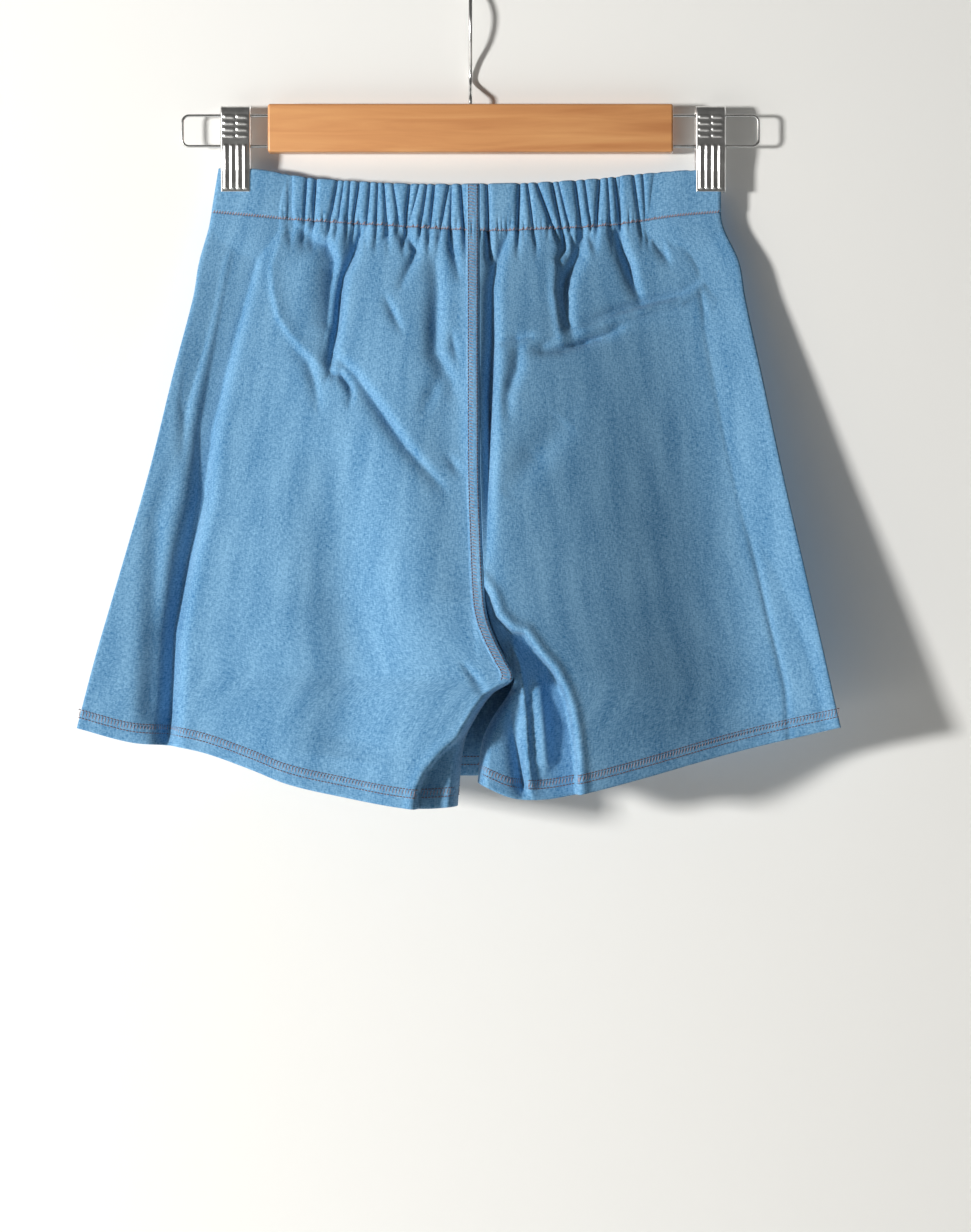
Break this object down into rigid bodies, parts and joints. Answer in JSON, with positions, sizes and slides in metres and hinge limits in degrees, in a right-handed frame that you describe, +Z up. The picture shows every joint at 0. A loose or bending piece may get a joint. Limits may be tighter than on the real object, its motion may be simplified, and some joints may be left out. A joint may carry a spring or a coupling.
{
  "type": "skort on a clip hanger",
  "caption": "Pull-on denim shorts with a front skirt panel, hung by the elastic waist from a wooden bar hanger with metal clips.",
  "frame": {"origin": "the hook's inside top, where the rail carries it", "axes": "+Z up, +X along the hanger bar to the right of someone who looks at the back of the shorts, +Y away from that person, towards the wall"},
  "size_m": [0.4874, 0.1217, 0.5338],
  "materials": {
    "denim": "light-blue stretch denim, matt, with pale cross threads",
    "varnished_wood": "orange-brown varnish, satin",
    "bright_steel": "bright plated steel",
    "thread": "dull rose sewing thread"
  },
  "bodies": {
    "root": {"back_left": "denim", "back_right": "denim", "front_left": "denim", "front_right": "denim", "skirt_panel": "denim", "waistband_back_left": "denim", "waistband_back_right": "denim", "waistband_front": "denim", "hanger_bar": "varnished_wood", "hook": "bright_steel", "wire_loop_left": "bright_steel", "wire_loop_right": "bright_steel", "clip_left_back_jaw": "bright_steel", "clip_left_front_jaw": "bright_steel", "clip_right_back_jaw": "bright_steel", "clip_right_front_jaw": "bright_steel"}
  },
  "joints": []
}
